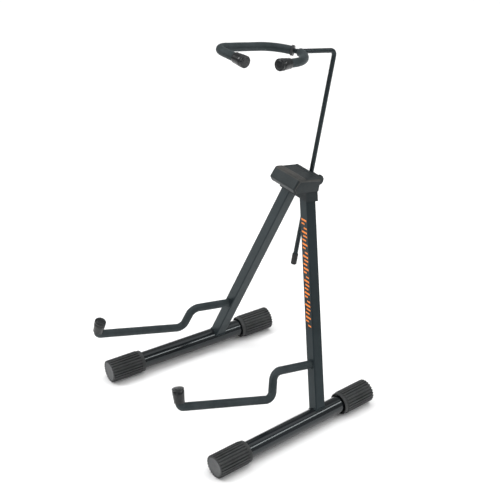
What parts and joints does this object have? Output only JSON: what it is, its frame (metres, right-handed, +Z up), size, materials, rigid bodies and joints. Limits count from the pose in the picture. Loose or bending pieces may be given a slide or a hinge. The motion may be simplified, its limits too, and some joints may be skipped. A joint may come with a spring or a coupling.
{
  "type": "folding instrument stand",
  "caption": "Folding A-frame stand with ribbed rubber feet, two foam-sleeved cradle arms and a neck yoke on a height-adjustable rod.",
  "frame": {"origin": "bottom centre of the bounding box, on the floor", "axes": "+Z up, the cradle arms point to -Y, X runs across from foot to foot"},
  "size_m": [0.3752, 0.4149, 0.6606],
  "materials": {
    "steel_black": "satin black powder coat",
    "tube_black": "gloss black paint",
    "cap_rubber": "matt ribbed rubber",
    "foam": "matt closed-cell foam",
    "end_cap_vinyl": "glossy dipped vinyl",
    "housing_plastic": "fine spark-eroded grain",
    "bush_plastic": "smooth",
    "zinc_steel": "zinc plated"
  },
  "bodies": {
    "housing": {"hinge_housing": "housing_plastic", "housing_cover": "housing_plastic", "cover_screws": "zinc_steel", "pivot_bolts": "zinc_steel", "pivot_nuts": "zinc_steel", "pivot_washers": "zinc_steel", "clamp_bolt": "zinc_steel"},
    "knob": {"clamp_knob": "housing_plastic"},
    "bush": {"swivel_bush": "bush_plastic", "bush_clip": "zinc_steel"},
    "left_leg": {"left_leg_tube": "steel_black", "left_pivot_bushes": "bush_plastic", "left_foot_tube": "tube_black", "left_front_cap": "cap_rubber", "left_rear_cap": "cap_rubber", "left_arm_rod": "steel_black", "left_arm_sleeve": "foam", "left_arm_cap": "end_cap_vinyl"},
    "right_leg": {"right_leg_tube": "steel_black", "right_pivot_bushes": "bush_plastic", "right_foot_tube": "tube_black", "right_front_cap": "cap_rubber", "right_rear_cap": "cap_rubber", "right_arm_rod": "steel_black", "right_arm_sleeve": "foam", "right_arm_cap": "end_cap_vinyl"},
    "neck": {"neck_rod": "steel_black", "rod_tip": "cap_rubber", "yoke_branch": "steel_black", "yoke_collar": "bush_plastic", "yoke_long_sleeve": "foam", "yoke_short_sleeve": "foam", "yoke_long_cap": "end_cap_vinyl", "yoke_short_cap": "end_cap_vinyl"}
  },
  "joints": [
    {"name": "right_leg_fold", "type": "hinge", "parent": "housing", "child": "right_leg", "pos_m": [0.01735, 0.13939, 0.38099], "axis": [0, 0.9796, -0.2011], "range_deg": [0, 18.5]},
    {"name": "left_leg_fold", "type": "hinge", "parent": "housing", "child": "left_leg", "pos_m": [-0.01735, 0.13939, 0.38099], "axis": [0, -0.9796, 0.2011], "range_deg": [0, 18.5]},
    {"name": "rod_swivel", "type": "hinge", "parent": "housing", "child": "bush", "pos_m": [0, 0.158, 0.37716], "axis": [0, 0.2011, 0.9796], "continuous": true},
    {"name": "rod_height", "type": "slide", "parent": "bush", "child": "neck", "axis": [0, 0.2011, 0.9796], "range_m": [-0.14, 0.1]},
    {"name": "clamp_turn", "type": "hinge", "parent": "housing", "child": "knob", "pos_m": [0, 0.16863, 0.38417], "axis": [1, 0, 0], "range_deg": [0, 360]}
  ]
}
